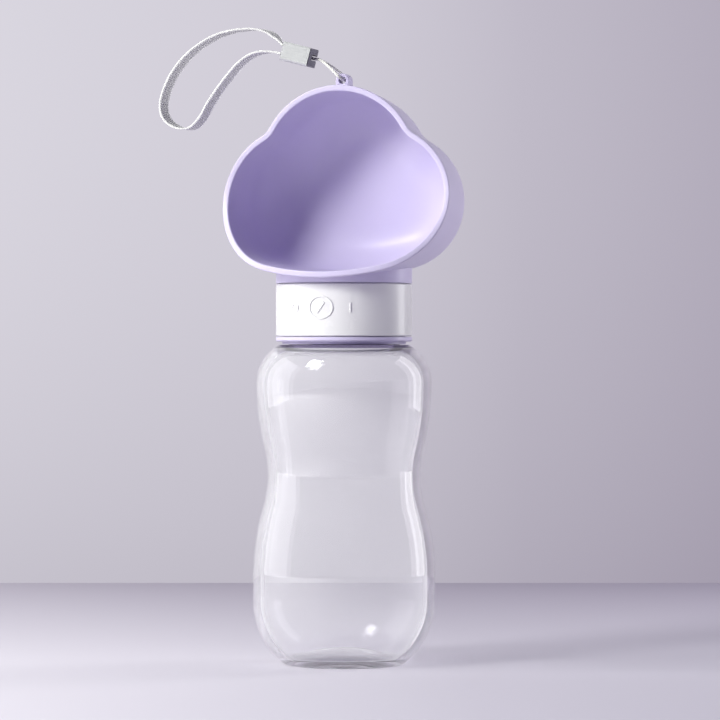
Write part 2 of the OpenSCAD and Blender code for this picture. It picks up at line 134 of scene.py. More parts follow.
# %% Sweep a section along a route
def sweep(route, section_at, sides):
    """Rings of section_at(distance) along the route; sides holds the section's first directions."""
    bm = bmesh.new()
    uv = bm.loops.layers.uv.new("UVMap")
    rings, reached = [], []
    travelled = 0
    last = len(route) - 1
    for i, (point, side) in enumerate(zip(route, sides)):
        if i:
            travelled += (point - route[i - 1]).length
        along = (route[min(i + 1, last)] - route[max(i - 1, 0)]).normalized()
        across = (side - along * side.dot(along)).normalized()
        through = along.cross(across)
        rings.append([bm.verts.new(point + across * x + through * y) for x, y in section_at(travelled)])
        reached.append(travelled)
    count = len(rings[0])
    for i in range(last):
        for j in range(count):
            k = (j + 1) % count
            face = bm.faces.new((rings[i][j], rings[i][k], rings[i + 1][k], rings[i + 1][j]))
            here, there = reached[i], reached[i + 1]
            corners = ((here, j), (here, j + 1), (there, j + 1), (there, j))
            for loop, (u, v) in zip(face.loops, corners):
                loop[uv].uv = (u, v / count)
    bm.faces.new(list(reversed(rings[0])))
    bm.faces.new(rings[-1])
    bmesh.ops.recalc_face_normals(bm, faces=bm.faces)
    return bm


# %% [markdown]
# ## The string
# Thin twisted cord, doubled through the lug's hole, with both ends in the clasp. Twisting two plies
# round each other is the real make-up. A section with two soft lobes that turns as it travels gives
# that rope line with a few thousand points, and no second strand to keep in step.

# %% The string
STRING_D = 1.3 * MM
TWIST_PITCH = 3.2 * MM
STRING_CORNERS, STRING_LOBE = 14, 0.16
STRING_FACES = (0.3, 0.2, 0.9)
STRING_ROUTE = [
    (-13.2, -2.9, 254.5), (-11.6, -2.5, 254.1), (-10.4, -2.6, 253.9), (-9, -3, 253.3),
    (-7.4, -3.6, 252.3), (-5.4, -4.4, 250.7), (-3.4, -5.1, 248.9), (-1.8, -5.5, 247.3),
    (-0.9, -5.2, 246.3), (-0.2, -4.2, 245.6), (0, -2.8, 245.3), (0, 0.5, 245.3), (0, 3.8, 245.3),
    (-0.2, 5.2, 245.6), (-0.9, 6.2, 246.3), (-1.8, 6.5, 247.3), (-3.4, 5.7, 248.8),
    (-5.6, 4.1, 250.6), (-7.8, 2.4, 252.2), (-9.7, 0.7, 253.4), (-11, -0.4, 254),
    (-12.2, -1.1, 254.2), (-13.6, -1.4, 254.5)]


def twisted_section(distance):
    """A round with two soft lobes, turned as far as the twist has come."""
    turn = 2 * math.pi * distance / TWIST_PITCH
    section = []
    for i in range(STRING_CORNERS):
        a = 2 * math.pi * i / STRING_CORNERS
        r = STRING_D / 2 * (1 - STRING_LOBE / 2 + STRING_LOBE / 2 * math.cos(2 * (a - turn)))
        section.append((r * math.cos(a), r * math.sin(a)))
    return section


string_line = smooth_route([Vector(p) * MM for p in STRING_ROUTE], 14)
string_sides = [Vector(STRING_FACES)] * len(string_line)
string = hand_over(sweep(string_line, twisted_section, string_sides), "string", "lid",
                   ["lanyard_string"])
string_length = route_length(string_line)
print("string", round(string_length / MM, 1), "mm")

# %% [markdown]
# ## The wrist strap
# Flat woven webbing, bent into one loop with both ends in the clasp. Its route is drawn flat in the
# clasp's frame and turned into place with the clasp. Soft webbing twists a little as it leaves its
# slots, so the direction of its width turns over the first few millimetres. The section is a thin bar
# with soft edges, which is how webbing looks once it is folded over its selvedge.

# %% The wrist strap
CLASP_AT = Vector((-20.2, -4, 256.3)) * MM
CLASP_TURN = (0, 14, 15.5)
STRAP_W = 6 * MM
STRAP_T = 0.8 * MM
STRAP_LEAN = (0.55, 0.82, 0.14)
STRAP_TURN_IN = 4
STRAP_STRIPS = 6
STRAP_ROUTE = [
    (-6.1, 2.3), (-7.2, 3.4), (-9, 4.8), (-13, 6.1), (-17.7, 6.1), (-22.8, 4.8), (-27.9, 2.7),
    (-32.9, -0.3), (-37.6, -4.5), (-41.8, -9.6), (-44.9, -14.9), (-47.2, -20.7), (-48.4, -26.5),
    (-48.7, -32.1), (-47.7, -36.6), (-45.4, -39.7), (-42.1, -41.4), (-38.4, -41.8), (-35, -40.9),
    (-32.6, -38.5), (-30.8, -34.4), (-29.3, -28.6), (-26.8, -21.6), (-23.9, -14.9), (-20.9, -9.3),
    (-17.6, -5.4), (-14.2, -3), (-10.7, -1.8), (-8, -1.4), (-6.1, -1.4)]


def turn_about(axis, degrees):
    return Matrix.Rotation(math.radians(degrees), 4, axis)


clasp_frame = Matrix.Translation(CLASP_AT)
for axis, degrees in zip("ZYX", reversed(CLASP_TURN)):
    clasp_frame = clasp_frame @ turn_about(axis, degrees)


def webbing_section(distance):
    """A thin bar, its long sides split so that the weave can follow the surface."""
    half_w, half_t, soft = STRAP_W / 2, STRAP_T / 2, STRAP_T * 0.3
    edge = [(half_w, -half_t + soft), (half_w, half_t - soft)]
    flat = STRAP_W - 2 * soft
    top = [(half_w - soft - flat * i / STRAP_STRIPS, half_t) for i in range(STRAP_STRIPS + 1)]
    return edge + top + [(-x, -y) for x, y in edge] + [(-x, -y) for x, y in top]


flat_line = smooth_route([Vector((x, 0, z)) for x, z in STRAP_ROUTE], 6)
strap_line = [clasp_frame @ (p * MM) for p in flat_line]
lean, turned = Vector(STRAP_LEAN), clasp_frame.to_3x3()
strap_sides = []
for p in flat_line:
    out = min(1, (STRAP_ROUTE[0][0] - p.x) / STRAP_TURN_IN)
    strap_sides.append(turned @ Vector((lean.x * out, lean.y, lean.z * out)))
strap = hand_over(sweep(strap_line, webbing_section, strap_sides), "strap", "lid",
                  ["wrist_strap"])
strap_length = route_length(strap_line)
print("strap", round(strap_length / MM, 1), "mm")

# %% [markdown]
# ## The bottle
# The real bottle is one blow-moulded turning: a half outline taken once round the axis. Clear plastic
# shows every facet of its mesh, so the outline is drawn again here, with more points on its arcs than
# a solid needs, and spun in many steps.

# %% Outline of the bottle
BELLY_R, BELLY_LOW, BELLY_HIGH, BASE_ARC = 38.3, 26.5, 36, 33
WAIST_R, WAIST_Z = 32.1, 79
CHEST_R, CHEST_Z = 36.8, 118
SHOULDER_ARC, LEDGE_R = 18.5, 27.6
WALL, NECK_BORE_R, NECK_WALL, NECK_H = 3.2, 21.3, 2.1, 15.8
FOOT_INNER_R, PUNT_H = 20.5, 3.5
BULGE_SHARE = 0.72
LEDGE_Z = CHEST_Z + math.sqrt(SHOULDER_ARC**2 - (LEDGE_R - CHEST_R + SHOULDER_ARC) ** 2)
NECK_R = NECK_BORE_R + NECK_WALL
NECK_TOP = LEDGE_Z + NECK_H


def arc(centre, r, start, end, steps):
    """Points on an arc, angles in degrees, steps + 1 of them."""
    angles = [math.radians(start + (end - start) * i / steps) for i in range(steps + 1)]
    return [(centre[0] + r * math.cos(a), centre[1] + r * math.sin(a)) for a in angles]


def s_radius(r1, z1, r2, z2):
    """The sum of the two radii that lead from one bulge to the next in a smooth S."""
    return ((z2 - z1) ** 2 + (r1 - r2) ** 2) / (2 * (r1 - r2))


def body_outline(t):
    """The half outline from the foot to the ledge, moved inwards by t."""
    low = s_radius(BELLY_R, BELLY_HIGH, WAIST_R, WAIST_Z)
    high = s_radius(CHEST_R, CHEST_Z, WAIST_R, WAIST_Z)
    low_turn = math.degrees(math.asin((WAIST_Z - BELLY_HIGH) / low))
    high_turn = math.degrees(math.asin((CHEST_Z - WAIST_Z) / high))
    bulge_low, bulge_high = low * BULGE_SHARE, high * BULGE_SHARE
    waist_low, waist_high = low - bulge_low, high - bulge_high
    base_turn = math.degrees(math.asin((BELLY_LOW - t) / (BASE_ARC - t)))
    ledge_turn = math.degrees(math.asin((LEDGE_Z - t - CHEST_Z) / (SHOULDER_ARC - t)))
    return (arc((BELLY_R - BASE_ARC, BELLY_LOW), BASE_ARC - t, -base_turn, 0, 30)
            + arc((BELLY_R - bulge_low, BELLY_HIGH), bulge_low - t, 0, low_turn, 20)[:-1]
            + arc((WAIST_R + waist_low, WAIST_Z), waist_low + t, 180 + low_turn, 180, 14)
            + arc((WAIST_R + waist_high, WAIST_Z), waist_high + t, 180, 180 - high_turn, 14)[1:-1]
            + arc((CHEST_R - bulge_high, CHEST_Z), bulge_high - t, -high_turn, 0, 20)
            + arc((CHEST_R - SHOULDER_ARC, CHEST_Z), SHOULDER_ARC - t, 3, ledge_turn, 24))


def punt(t):
    """The dished base from the axis to the foot ring, moved up by t."""
    r = (FOOT_INNER_R**2 + PUNT_H**2) / (2 * PUNT_H)
    return arc((0, PUNT_H - r + t), r, 90, 90 - math.degrees(math.asin(FOOT_INNER_R / r)), 20)


# %% Spin the outline
def spin_outline(points, steps):
    """A turned solid from a half outline in millimetres, as (radius, height)."""
    bm = bmesh.new()
    verts = [bm.verts.new((r * MM, 0, z * MM)) for r, z in points]
    edges = [bm.edges.new(pair) for pair in zip(verts, verts[1:])]
    bmesh.ops.spin(bm, geom=verts + edges, cent=(0, 0, 0), axis=(0, 0, 1), angle=2 * math.pi,
                   steps=steps, use_merge=True)
    bmesh.ops.remove_doubles(bm, verts=bm.verts, dist=1e-6)
    bmesh.ops.recalc_face_normals(bm, faces=bm.faces)
    return bm


RIM_ROUND = 0.5
BOTTLE_STEPS = 256
neck_outline = [
    (NECK_R, LEDGE_Z), (NECK_R, NECK_TOP - RIM_ROUND), (NECK_R - RIM_ROUND, NECK_TOP),
    (NECK_BORE_R + RIM_ROUND, NECK_TOP), (NECK_BORE_R, NECK_TOP - RIM_ROUND),
    (NECK_BORE_R, LEDGE_Z - WALL)]
bottle_outline = (punt(0) + body_outline(0) + neck_outline
                  + list(reversed(body_outline(WALL))) + list(reversed(punt(WALL))))
bottle_shape = spin_outline(bottle_outline, BOTTLE_STEPS)

# %% Mark the faces that look into the bottle, because only they hold mist
CORE_LOW = 30
inside = bottle_shape.faces.layers.float.new("inside")
for face in bottle_shape.faces:
    centre = face.calc_center_median()
    core = Vector((0, 0, min(CHEST_Z, max(CORE_LOW, centre.z / MM)) * MM))
    face[inside] = float(face.normal.dot(centre - core) < 0)
bottle = hand_over(bottle_shape, "bottle_body", "bottle", ["bottle"], sharp=50)

# %% [markdown]
# ## The threads
# The lid screws down on a coarse two-start thread. A thread is one small tooth taken round and up at
# the same time, which is what the spin operator does when it is given a rise for every step. The
# tooth fades out at both ends, as a moulded thread does.

# %% Threads on the neck and in the skirt
THREAD_LEAD = 7
THREAD_TURNS = 1.1
THREAD_STEPS = 96
THREAD_FADE = 0.12
THREAD_LEAST = 0.02
THREAD_DEPTH = 0.75
THREAD_FOOT_W, THREAD_CREST_W = 1.5, 0.7
THREAD_SUNK = 0.05
THREAD_GAP = 1.2
NECK_THREAD_Z, SKIRT_THREAD_Z = 138.4, 136.6


def thread(root_r, depth, start_z, first_turn):
    """One start of a thread; depth is negative for one that points inwards."""
    bm = bmesh.new()
    foot, crest = THREAD_FOOT_W / 2, THREAD_CREST_W / 2
    tooth = [(root_r, -foot), (root_r + depth, -crest), (root_r + depth, crest), (root_r, foot)]
    verts = [bm.verts.new((r * MM, 0, (start_z + z) * MM)) for r, z in tooth]
    face = bm.faces.new(verts)
    rise = THREAD_LEAD * THREAD_TURNS / THREAD_STEPS * MM
    bmesh.ops.spin(bm, geom=[face] + list(face.edges) + verts, cent=(0, 0, 0), axis=(0, 0, 1),
                   angle=2 * math.pi * THREAD_TURNS, steps=THREAD_STEPS, dvec=(0, 0, rise))
    bmesh.ops.remove_doubles(bm, verts=bm.verts, dist=1e-6)
    per_turn = THREAD_LEAD * MM
    for v in bm.verts:
        turns = (v.co.z - start_z * MM) / per_turn
        grown = min(1, max(THREAD_LEAST, min(turns, THREAD_TURNS - turns) / THREAD_FADE))
        r = math.hypot(v.co.x, v.co.y)
        target = root_r * MM + (r - root_r * MM) * grown
        v.co.x *= target / r
        v.co.y *= target / r
    bmesh.ops.rotate(bm, verts=bm.verts, matrix=Matrix.Rotation(first_turn, 3, "Z"))
    bmesh.ops.recalc_face_normals(bm, faces=bm.faces)
    return bm


SKIRT_IN = NECK_R + THREAD_GAP
neck_threads, skirt_threads = [], []
for start, first_turn in ((1, 0), (2, math.pi)):
    outer = thread(NECK_R - THREAD_SUNK, THREAD_DEPTH, NECK_THREAD_Z, first_turn)
    neck_threads.append(hand_over(outer, f"neck_thread_{start}", "bottle"))
    inner = thread(SKIRT_IN + THREAD_SUNK, -THREAD_DEPTH, SKIRT_THREAD_Z, first_turn)
    skirt_threads.append(hand_over(inner, f"skirt_thread_{start}", "lid"))

# %% [markdown]
# ## The cup
# The cup is one moulding: a cloud-shaped bowl whose rim sweeps forward into a lip, a round neck under
# it and a small loop on top. The bowl is a loft. The same cloud outline is repeated as ring after
# ring, each a little further back or further in, and neighbouring rings are bridged. The neck is a
# turning, and a boolean cut gives it a top that ends inside the bowl's wall.

# %% Centres of the cloud's arcs
CUP_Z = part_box("cup")[0][2] / MM
TOP_R, TOP_RISE = 34, 13.9
LOBE_R, LOBE_X = 30.8, 18.2
NOTCH_R, LIP_R = 11.1, 109
NECK_RISE = 1.9
BOWL_Z = CUP_Z + NECK_RISE


def circles_meet(c1, r1, c2, r2):
    """The point to the right where two circles meet."""
    gap = (c2 - c1).length
    along = (gap * gap + r1 * r1 - r2 * r2) / (2 * gap)
    u = (c2 - c1) / gap
    return c1 + u * along + Vector((-u.y, u.x)) * math.sqrt(r1 * r1 - along * along)


def angle_to(start, end):
    return math.degrees(math.atan2(end.y - start.y, end.x - start.x))


lip_c = Vector((0, BOWL_Z + LIP_R))
lobe_c = Vector((LOBE_X, lip_c.y - math.sqrt((LIP_R - LOBE_R) ** 2 - LOBE_X**2)))
top_c = Vector((0, lobe_c.y + TOP_RISE))
notch_c = circles_meet(top_c, TOP_R + NOTCH_R, lobe_c, LOBE_R + NOTCH_R)
CUP_TOP = top_c.y + TOP_R
print("cup from", round(CUP_Z, 2), "to", round(CUP_TOP, 2), "mm")


# %% The cloud outline
def stretch(centre, r, start, end, steps, out):
    """Points on one arc of the outline, each with the direction that points out of the cloud there."""
    points = []
    for i in range(steps):
        a = math.radians(start + (end - start) * i / steps)
        direction = Vector((math.cos(a), math.sin(a)))
        points.append((centre + direction * r, direction * out))
    return points


top, side, low = angle_to(top_c, notch_c), angle_to(lobe_c, notch_c), angle_to(lip_c, lobe_c)
left_lobe, left_notch = Vector((-lobe_c.x, lobe_c.y)), Vector((-notch_c.x, notch_c.y))
cloud = (stretch(top_c, TOP_R, top, 180 - top, 56, 1)
         + stretch(left_notch, NOTCH_R, -top, -side, 14, -1)
         + stretch(left_lobe, LOBE_R, 180 - side, 180 - low, 60, 1)
         + stretch(lip_c, LIP_R, 180 - low, 360 + low, 36, 1)
         + stretch(lobe_c, LOBE_R, low, side, 60, 1)
         + stretch(notch_c, NOTCH_R, 180 + side, 180 + top, 14, -1))
print("cloud outline", len(cloud), "points")

# %% The bowl's sides, back and rim
RIM_FRONT, SWEEP_H, LIP_REACH = 10.4, 54, 26.1
RIM_W, BEAD, BEAD_L, RIM_EDGE = 2.5, 0.4, 2.4, 0.6
CUP_BACK, SIDE_ARC, BACK_FILLET, BOWL_FILLET, BACK_WALL = 33, 300, 15, 20, 2.5
BACK_STEPS, SIDE_STEPS = 12, 10
sweep_r = (SWEEP_H**2 + LIP_REACH**2) / (2 * LIP_REACH)


def rim_place(point):
    """Where the rim is along Y: level above, and sweeping forward to the lower lip."""
    drop = max(0, BOWL_Z + SWEEP_H - point.y)
    return -RIM_FRONT - (sweep_r - math.sqrt(sweep_r**2 - drop**2))


rim_line = [rim_place(point) for point, _ in cloud]


def cloud_ring(places, inset):
    """One ring of points: places along Y, and how far in from the outline."""
    return [Vector((p.x - out.x * inset, y, p.y - out.y * inset)) for (p, out), y in zip(cloud, places)]


def behind_rim(step):
    return [y + step for y in rim_line]


def skin(share, ends):
    """Rings from the flat of the back to the rim; share is 0 outside the wall and 1 inside it."""
    base = BEAD + share * (RIM_W - BEAD)
    r = SIDE_ARC - share * (RIM_W - BEAD)
    fillet = BACK_FILLET + share * (BOWL_FILLET - BACK_FILLET)
    centre = CUP_BACK - share * BACK_WALL - fillet
    tangent = math.asin((centre + RIM_FRONT) / (r - fillet))
    inset = base + r - (r - fillet) * math.cos(tangent)
    rings = []
    for i in range(BACK_STEPS + 1):
        f = math.pi / 2 - (math.pi / 2 - tangent) * i / BACK_STEPS
        level = [centre + fillet * math.sin(f)] * len(cloud)
        rings.append(cloud_ring(level, inset - fillet * math.cos(f)))
    start = centre + fillet * (centre + RIM_FRONT) / (r - fillet)
    for i in range(1, SIDE_STEPS + 1):
        ring = []
        for (p, out), end in zip(cloud, ends):
            y = start + (end - start) * i / SIDE_STEPS
            drawn = base + (r - math.sqrt(r * r - (y + RIM_FRONT) ** 2) if y > -RIM_FRONT else 0)
            ring.append(Vector((p.x - out.x * drawn, y, p.y - out.y * drawn)))
        rings.append(ring)
    return rings


def rim_rings():
    """The rim's bead with its two rounded edges, as rings from the outer side to the inner one."""
    section = [(BEAD_L * 0.8, BEAD * 0.3), (BEAD_L * 0.5, 0)]
    turns = [math.radians(a) for a in range(0, 91, 18)]
    section += [(RIM_EDGE * (1 - math.sin(a)), RIM_EDGE * (1 - math.cos(a))) for a in turns]
    section += [(RIM_EDGE * (1 - math.cos(a)), RIM_W - RIM_EDGE * (1 - math.sin(a))) for a in turns[:-1]]
    return [cloud_ring(behind_rim(step), inset) for step, inset in section]


# %% Loft, cut and turn
def loft(rings):
    """A closed skin over rings that have the same number of points."""
    bm = bmesh.new()
    loops = []
    for ring in rings:
        verts = [bm.verts.new(p * MM) for p in ring]
        loops.append([bm.edges.new(pair) for pair in zip(verts, verts[1:] + verts[:1])])
    for first, second in zip(loops, loops[1:]):
        bmesh.ops.bridge_loops(bm, edges=first + second)
    bmesh.ops.contextual_create(bm, geom=loops[0])
    bmesh.ops.contextual_create(bm, geom=loops[-1])
    bmesh.ops.recalc_face_normals(bm, faces=bm.faces)
    return bm


def cut_away(bm, tool):
    """The first shape with the second cut from it."""
    pair = []
    for shape in (bm, tool):
        mesh = bpy.data.meshes.new("shape")
        shape.to_mesh(mesh)
        shape.free()
        pair.append(bpy.data.objects.new("shape", mesh))
        bpy.context.scene.collection.objects.link(pair[-1])
    boolean = pair[0].modifiers.new("boolean", "BOOLEAN")
    boolean.operation = "DIFFERENCE"
    boolean.solver = "EXACT"
    boolean.object = pair[1]
    cut = bpy.data.meshes.new_from_object(pair[0].evaluated_get(bpy.context.evaluated_depsgraph_get()))
    out = bmesh.new()
    out.from_mesh(cut)
    for piece in pair:
        bpy.data.meshes.remove(piece.data)
    bpy.data.meshes.remove(cut)
    return out


def drill(r, centre, z, h):
    """An upright rod that stands at z and cuts a round hole."""
    bm = bmesh.new()
    bmesh.ops.create_cone(bm, cap_ends=True, segments=48, radius1=r * MM, radius2=r * MM, depth=h * MM,
                          matrix=Matrix.Translation(Vector((*centre, z + h / 2)) * MM))
    return bm


# %% The bowl and its neck
OUTLET_R, OUTLET_OUT = 1.4, 17
LID_R, POCKET_R, POCKET_H = 28.6, 25.85, 0.75
PILOT_R, PILOT_TOP = 1.5, 3.4
NECK_UP, NECK_EDGE, NECK_STEPS = 10.9, 0.35, 180

bowl = loft(skin(0, behind_rim(BEAD_L)) + rim_rings() + list(reversed(skin(1, behind_rim(RIM_EDGE)))))
bowl = cut_away(bowl, drill(OUTLET_R, (0, OUTLET_OUT), CUP_Z, NECK_UP))
neck = spin_outline([
    (0, CUP_Z + PILOT_TOP), (PILOT_R, CUP_Z + PILOT_TOP), (PILOT_R, CUP_Z + POCKET_H),
    (POCKET_R, CUP_Z + POCKET_H), (POCKET_R, CUP_Z), (LID_R - NECK_EDGE, CUP_Z),
    (LID_R - 0.1, CUP_Z + 0.1), (LID_R, CUP_Z + NECK_EDGE), (LID_R, CUP_Z + NECK_UP),
    (0, CUP_Z + NECK_UP)], NECK_STEPS)
neck = cut_away(neck, loft(skin(0.5, [-LID_R - 1] * len(cloud))))
neck = cut_away(neck, drill(OUTLET_R, (0, OUTLET_OUT), CUP_Z - 1, NECK_UP + 2))
print("bowl", len(bowl.faces), "faces, neck", len(neck.faces), "faces")


# %% The loop on top, and the whole cup
LUG_R, LUG_HOLE_R, LUG_L = 2.9, 1.5, 6.6
LUG_RISE, LUG_ROOT, LUG_Y, LUG_EDGE = 2.4, 1.6, 0.5, 0.35


def lug_shape():
    """An arch with a hole, drawn flat round the hole, thickened and softened."""
    turns = [math.radians(a) for a in range(0, 181, 9)]
    arch = [(LUG_R * math.cos(a), LUG_R * math.sin(a)) for a in turns]
    foot = -LUG_RISE - LUG_ROOT
    legs = [(-LUG_R, foot * i / 4) for i in (1, 2, 3)]
    base = [(-LUG_R + 2 * LUG_R * i / 6, foot) for i in range(7)]
    outer = arch + legs + base + [(-x, z) for x, z in reversed(legs)]
    inner = [(LUG_HOLE_R * x / math.hypot(x, z), LUG_HOLE_R * z / math.hypot(x, z)) for x, z in outer]
    front, hole_z = LUG_Y - LUG_L / 2, CUP_TOP + LUG_RISE
    bm = bmesh.new()
    loops = []
    for line in (outer, inner):
        verts = [bm.verts.new(Vector((x, front, hole_z + z)) * MM) for x, z in line]
        loops.append([bm.edges.new(pair) for pair in zip(verts, verts[1:] + verts[:1])])
    flat = bmesh.ops.bridge_loops(bm, edges=loops[0] + loops[1])["faces"]
    made = bmesh.ops.extrude_face_region(bm, geom=flat)["geom"]
    far_end = [g for g in made if isinstance(g, bmesh.types.BMVert)]
    bmesh.ops.translate(bm, verts=far_end, vec=(0, LUG_L * MM, 0))
    bmesh.ops.recalc_face_normals(bm, faces=bm.faces)
    corners = [e for e in bm.edges if e.calc_face_angle(0) > math.radians(60)
               and e.verts[0].co.z + e.verts[1].co.z > 2 * CUP_TOP * MM]
    bmesh.ops.bevel(bm, geom=corners, affect="EDGES", offset=LUG_EDGE * MM, segments=3, profile=0.5,
                    material=-1)
    return bm


cup_shape = bmesh.new()
for part in (bowl, neck, lug_shape()):
    mesh = bpy.data.meshes.new("part")
    part.to_mesh(mesh)
    part.free()
    cup_shape.from_mesh(mesh)
    bpy.data.meshes.remove(mesh)
cup = hand_over(cup_shape, "cup_body", "lid", ["cup"], sharp=35)

# %% [markdown]
# ## Marks on the collar
# The collar carries small raised marks that say which way to turn it. Here they are plain signs that
# need no words: a ring for shut, a bar for open and a dial with a leaning pointer. Each is drawn
# flat, given its thickness, and then rolled onto the collar.

# %% Roll a flat mark onto the collar
COLLAR_R = LID_R
MARK_RAISE = 0.36
MARK_EDGE = 0.1
MARK_Z = 149.5


def roll_on(bm, azimuth):
    """Bends a mark drawn in x (across), z (up) and -y (out) onto the collar at an azimuth in degrees."""
    for v in bm.verts:
        a = math.radians(azimuth) + v.co.x / (COLLAR_R * MM)
        r = COLLAR_R * MM - v.co.y
        v.co = Vector((r * math.sin(a), -r * math.cos(a), v.co.z + MARK_Z * MM))
    bmesh.ops.recalc_face_normals(bm, faces=bm.faces)
    return bm


def raise_faces(bm, faces):
    """Turns flat faces on the collar's surface into a low block with softened edges."""
    out = bmesh.ops.extrude_face_region(bm, geom=faces)["geom"]
    top = [g for g in out if isinstance(g, bmesh.types.BMVert)]
    bmesh.ops.translate(bm, verts=top, vec=(0, -(MARK_RAISE + MARK_EDGE) * MM, 0))
    bmesh.ops.translate(bm, verts=bm.verts, vec=(0, MARK_EDGE * MM, 0))
    rim = {e for g in out if isinstance(g, bmesh.types.BMFace) for e in g.edges}
    outer = [e for e in rim if sum(f in out for f in e.link_faces) == 1]
    bmesh.ops.bevel(bm, geom=outer, affect="EDGES", offset=MARK_EDGE * MM, segments=2, profile=0.5,
                    material=-1)


def ring_mark(bm, inner, outer, squash=1.0, segments=48):
    """The flat faces of a ring between two radii, made lower by squash."""
    circle = bmesh.ops.create_circle(bm, cap_ends=False, segments=segments, radius=outer * MM)["verts"]
    edges = list({e for v in circle for e in v.link_edges})
    out = bmesh.ops.extrude_edge_only(bm, edges=edges)["geom"]
    inside = [g for g in out if isinstance(g, bmesh.types.BMVert)]
    bmesh.ops.scale(bm, verts=inside, vec=(inner / outer,) * 3)
    bmesh.ops.rotate(bm, verts=bm.verts, matrix=Matrix.Rotation(math.radians(90), 3, "X"))
    bmesh.ops.scale(bm, verts=bm.verts, vec=(1, 1, squash))
    return [g for g in out if isinstance(g, bmesh.types.BMFace)]


def bar_mark(bm, width, height, lean=0):
    """The flat faces of an upright bar, or of one that leans to the right by some degrees."""
    grid = bmesh.ops.create_grid(bm, x_segments=2, y_segments=6, size=0.5)["verts"]
    bmesh.ops.scale(bm, verts=grid, vec=(width * MM, height * MM, 1))
    bmesh.ops.rotate(bm, verts=grid, matrix=Matrix.Rotation(math.radians(-lean), 3, "Z"))
    bmesh.ops.rotate(bm, verts=grid, matrix=Matrix.Rotation(math.radians(90), 3, "X"))
    return list({f for v in grid for f in v.link_faces})


# %% The marks
SHUT_AT, DIAL_AT, OPEN_AT = -29, -4, 21


def place_mark(name, azimuth, shape, *sizes, **settings):
    bm = bmesh.new()
    raise_faces(bm, shape(bm, *sizes, **settings))
    return hand_over(roll_on(bm, azimuth), name, "collar", sharp=50)


marks = [place_mark("mark_shut", SHUT_AT, ring_mark, 1.4, 2),
         place_mark("mark_open", OPEN_AT, bar_mark, 0.7, 4),
         place_mark("mark_dial", DIAL_AT, ring_mark, 4.7, 5.4, squash=0.9, segments=72),
         place_mark("mark_pointer", DIAL_AT, bar_mark, 0.8, 5.4, lean=35)]

# %% [markdown]
# ## Finishes
# Shader maths reads best as plain maths. A small class wraps the value that runs between two nodes, so
# that 1 - mask or 0.5 + 0.5 * wave adds its Math nodes by itself. A second class holds one finish: its
# material, its shader, and one method that adds any other node.


# %% Shader maths as plain maths
def feed(tree, socket, value):
    if isinstance(value, Wire):
        tree.links.new(value.socket, socket)
    else:
        socket.default_value = value


class Wire:
    """A number that runs between shader nodes."""

    def __init__(self, tree, socket):
        self.tree = tree
        self.socket = socket

    def math(self, operation, *values):
        node = self.tree.nodes.new("ShaderNodeMath")
        node.operation = operation
        for socket, value in zip(node.inputs, values):
            feed(self.tree, socket, value)
        return Wire(self.tree, node.outputs[0])

    def __add__(self, other):
        return self.math("ADD", self, other)

    def __sub__(self, other):
        return self.math("SUBTRACT", self, other)

    def __rsub__(self, other):
        return self.math("SUBTRACT", other, self)

    def __mul__(self, other):
        return self.math("MULTIPLY", self, other)

    def __gt__(self, other):
        return self.math("GREATER_THAN", self, other)

    def __lt__(self, other):
        return self.math("LESS_THAN", self, other)

    def __pow__(self, exponent):
        return self.math("POWER", self, exponent)

    __radd__ = __add__
    __rmul__ = __mul__

    def sine(self):
        return self.math("SINE", self)

    def size(self):
        return self.math("ABSOLUTE", self)

    def at_least(self, least):
        return self.math("MAXIMUM", self, least)

    def fraction(self):
        return self.math("FRACT", self)


class Finish:
    """One material: its shader's plain values, and a way to add nodes to it."""

    def __init__(self, name, values):
        self.material = bpy.data.materials.new(name)
        self.material.use_nodes = True
        self.tree = self.material.node_tree
        self.shader = self.tree.nodes["Principled BSDF"]
        for socket, value in values.items():
            self.shader.inputs[socket].default_value = value

    def node(self, kind, settings=None, output=0, values=None):
        made = self.tree.nodes.new(kind)
        for key, value in (settings or {}).items():
            setattr(made, key, value)
        for key, value in (values or {}).items():
            feed(self.tree, made.inputs[key], value)
        return Wire(self.tree, made.outputs[output])

    def drive(self, socket, value):
        feed(self.tree, self.shader.inputs[socket], value)

    def place(self):
        return self.node("ShaderNodeTexCoord", output="Object")

    def noise(self, scale, detail):
        return self.node("ShaderNodeTexNoise", values={
            "Vector": self.place(), "Scale": scale, "Detail": detail, "Roughness": 0.5})

    def blend(self, share, first, second):
        values = {0: share, 6: first, 7: second}
        return self.node("ShaderNodeMix", {"data_type": "RGBA"}, output=2, values=values)

    def mix(self, share, first, second):
        return self.node("ShaderNodeMixShader", output="Shader", values={0: share, 1: first, 2: second})

    def emboss(self, height, depth):
        self.drive("Normal", self.node("ShaderNodeBump", output="Normal", values={
            "Height": height, "Distance": depth, "Strength": 1.0}))

    def show(self, surface):
        feed(self.tree, self.tree.nodes["Material Output"].inputs["Surface"], surface)


def to_linear(c):
    return c / 255 / 12.92 if c <= 10 else ((c / 255 + 0.055) / 1.055) ** 2.4


def tint(red, green, blue):
    """A screen colour, 0 to 255, as the linear values that shaders use."""
    return (to_linear(red), to_linear(green), to_linear(blue), 1.0)


def wear(finish, *pieces):
    """Puts a finish on pieces, in place of what they had."""
    for piece in pieces:
        piece.data.materials.clear()
        piece.data.materials.append(finish.material)


# %% [markdown]
# ## Moulded plastics
# The cup, the lid and the collar are polypropylene with a soft sheen. A moulding is never quite even:
# its skin has a very faint ripple, and its colour and gloss wander a little. All of it comes from
# noise, at as many waves in a metre as the real thing has.


# %% Moulded plastics
CLOUDS, PATCHES, RIPPLES = 60, 220, 1400
CLOUD_SHARE, GLOSS_SPREAD = 0.35, 0.08
FINE_BUMP = 0.01 * MM


